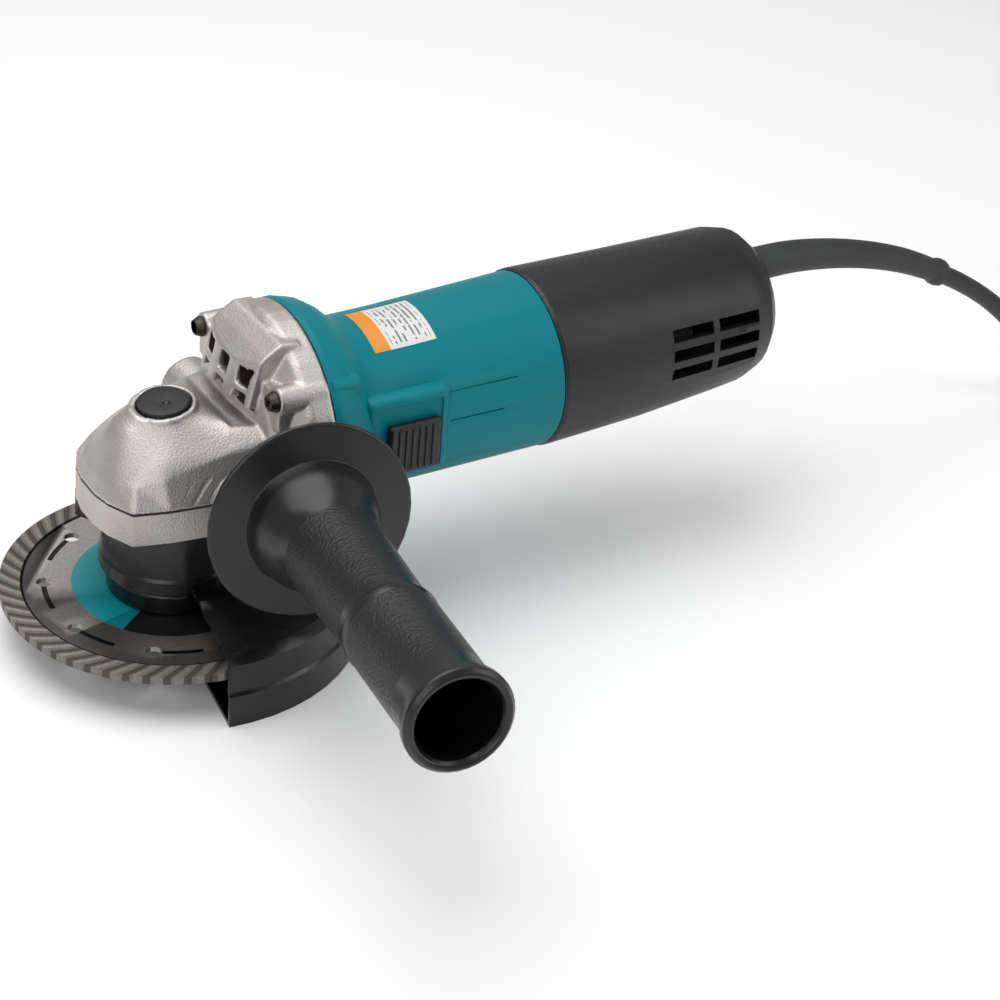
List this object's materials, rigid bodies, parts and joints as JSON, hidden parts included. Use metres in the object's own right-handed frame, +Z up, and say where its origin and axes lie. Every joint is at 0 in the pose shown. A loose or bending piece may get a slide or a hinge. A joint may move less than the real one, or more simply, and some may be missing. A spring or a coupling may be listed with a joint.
{
  "type": "angle grinder",
  "caption": "Corded angle grinder with a cast gear head, side handle, half-round wheel guard, turbo-rim diamond wheel and a slide switch; mains lead coiled behind it.",
  "frame": {"origin": "on the standing surface, below the middle of the machine's box without its lead", "axes": "+X along the motor from the gear head to the lead, +Y away from the side handle, +Z up along the spindle"},
  "size_m": [0.5866, 0.2464, 0.1102],
  "materials": {
    "cast_aluminium": "die-cast, shot-blasted",
    "black_painted_steel": "black gloss paint on pressed steel",
    "teal_plastic": "glass-filled nylon, fine texture",
    "black_plastic": "glass-filled nylon, fine texture",
    "black_rubber": "flexible PVC and rubber, matt",
    "bright_steel": "ground steel",
    "dark_steel": "blackened steel",
    "wheel_steel": "ground steel core with a sintered diamond rim",
    "laminated_steel": "stacked electrical sheet",
    "copper": null,
    "brass": "bright brass",
    "carbon": null
  },
  "bodies": {
    "machine": {"gear_housing": "cast_aluminium", "bearing_box": "cast_aluminium", "bearing_retainer": "bright_steel", "spindle_needle_bearing": "bright_steel", "spindle_ball_bearing": "bright_steel", "gear_housing_screw_1": "dark_steel", "gear_housing_screw_2": "dark_steel", "gear_housing_screw_3": "dark_steel", "gear_housing_screw_4": "dark_steel", "bearing_box_screw_1": "dark_steel", "bearing_box_screw_2": "dark_steel", "bearing_box_screw_3": "dark_steel", "bearing_box_screw_4": "dark_steel", "motor_housing": "teal_plastic", "rear_cover": "black_plastic", "rear_cover_screw": "dark_steel", "stator_core": "laminated_steel", "field_coil_top": "copper", "field_coil_bottom": "copper", "fan_baffle": "black_plastic", "armature_bearing_front": "bright_steel", "armature_bearing_rear": "bright_steel", "brush_holder_left": "brass", "brush_holder_right": "brass", "brush_spring_left": "bright_steel", "brush_spring_right": "bright_steel", "power_switch": "black_plastic", "shaft_lock_spring": "bright_steel", "cord_guard": "black_rubber", "cord_clamp": "black_plastic", "power_cord": "black_rubber", "cord_coil": "black_rubber", "cord_tie": "black_plastic", "plug_body": "black_rubber", "plug_pin_left": "brass", "plug_pin_right": "brass"},
    "spindle_group": {"spindle": "bright_steel", "ring_gear": "bright_steel", "inner_flange": "black_painted_steel", "diamond_wheel": "wheel_steel", "lock_nut": "dark_steel"},
    "armature": {"armature_shaft": "bright_steel", "armature_core": "laminated_steel", "armature_winding_front": "copper", "armature_winding_rear": "copper", "commutator": "copper", "fan": "black_plastic", "pinion": "bright_steel", "pinion_nut": "bright_steel"},
    "guard": {"wheel_guard": "black_painted_steel", "guard_clamp_screw": "dark_steel"},
    "lock_button": {"shaft_lock_button": "black_plastic", "shaft_lock_pin": "bright_steel"},
    "handle": {"side_handle": "black_plastic"},
    "switch": {"switch_slider": "black_plastic", "switch_rod": "black_plastic"},
    "brush_left": {"carbon_brush_left": "carbon"},
    "brush_right": {"carbon_brush_right": "carbon"},
    "handle_thread": {"handle_stud": "bright_steel"}
  },
  "joints": [
    {"name": "spindle_spin", "type": "hinge", "parent": "machine", "child": "spindle_group", "pos_m": [-0.084, 0.05921, 0.031], "axis": [0, 0, 1], "continuous": true},
    {"name": "armature_spin", "type": "hinge", "parent": "machine", "child": "armature", "pos_m": [-0.024, 0.05921, 0.071], "axis": [1, 0, 0], "continuous": true},
    {"name": "guard_turn", "type": "hinge", "parent": "machine", "child": "guard", "pos_m": [-0.084, 0.05921, 0.031], "axis": [0, 0, 1], "range_deg": [-45, 45]},
    {"name": "shaft_lock_press", "type": "slide", "parent": "machine", "child": "lock_button", "axis": [0, 0, -1], "range_m": [0, 0.004], "stiffness_N_per_m": 500, "springref_m": -0.003, "deforming": ["shaft_lock_spring"]},
    {"name": "switch_slide", "type": "slide", "parent": "machine", "child": "switch", "axis": [-1, 0, 0], "range_m": [0, 0.004]},
    {"name": "brush_left_lift", "type": "slide", "parent": "machine", "child": "brush_left", "axis": [0, -1, 0], "range_m": [0, 0.002], "stiffness_N_per_m": 150, "springref_m": -0.006, "deforming": ["brush_spring_left"]},
    {"name": "brush_right_lift", "type": "slide", "parent": "machine", "child": "brush_right", "axis": [0, 1, 0], "range_m": [0, 0.002], "stiffness_N_per_m": 150, "springref_m": -0.006, "deforming": ["brush_spring_right"]},
    {"name": "side_handle_withdraw", "type": "slide", "parent": "machine", "child": "handle_thread", "axis": [-0.1319, -0.9888, 0.0698], "range_m": [0, 0.0125]},
    {"name": "side_handle_unscrew", "type": "hinge", "parent": "handle_thread", "child": "handle", "pos_m": [-0.0629, 0.00151, 0.067], "axis": [-0.1319, -0.9888, 0.0698], "range_deg": [0, 3600]}
  ],
  "couplings": [
    {"joint": "side_handle_withdraw", "follows": "side_handle_unscrew", "m_per_rad": 0.00019894},
    {"joint": "armature_spin", "follows": "spindle_spin", "ratio": 3.1111}
  ]
}
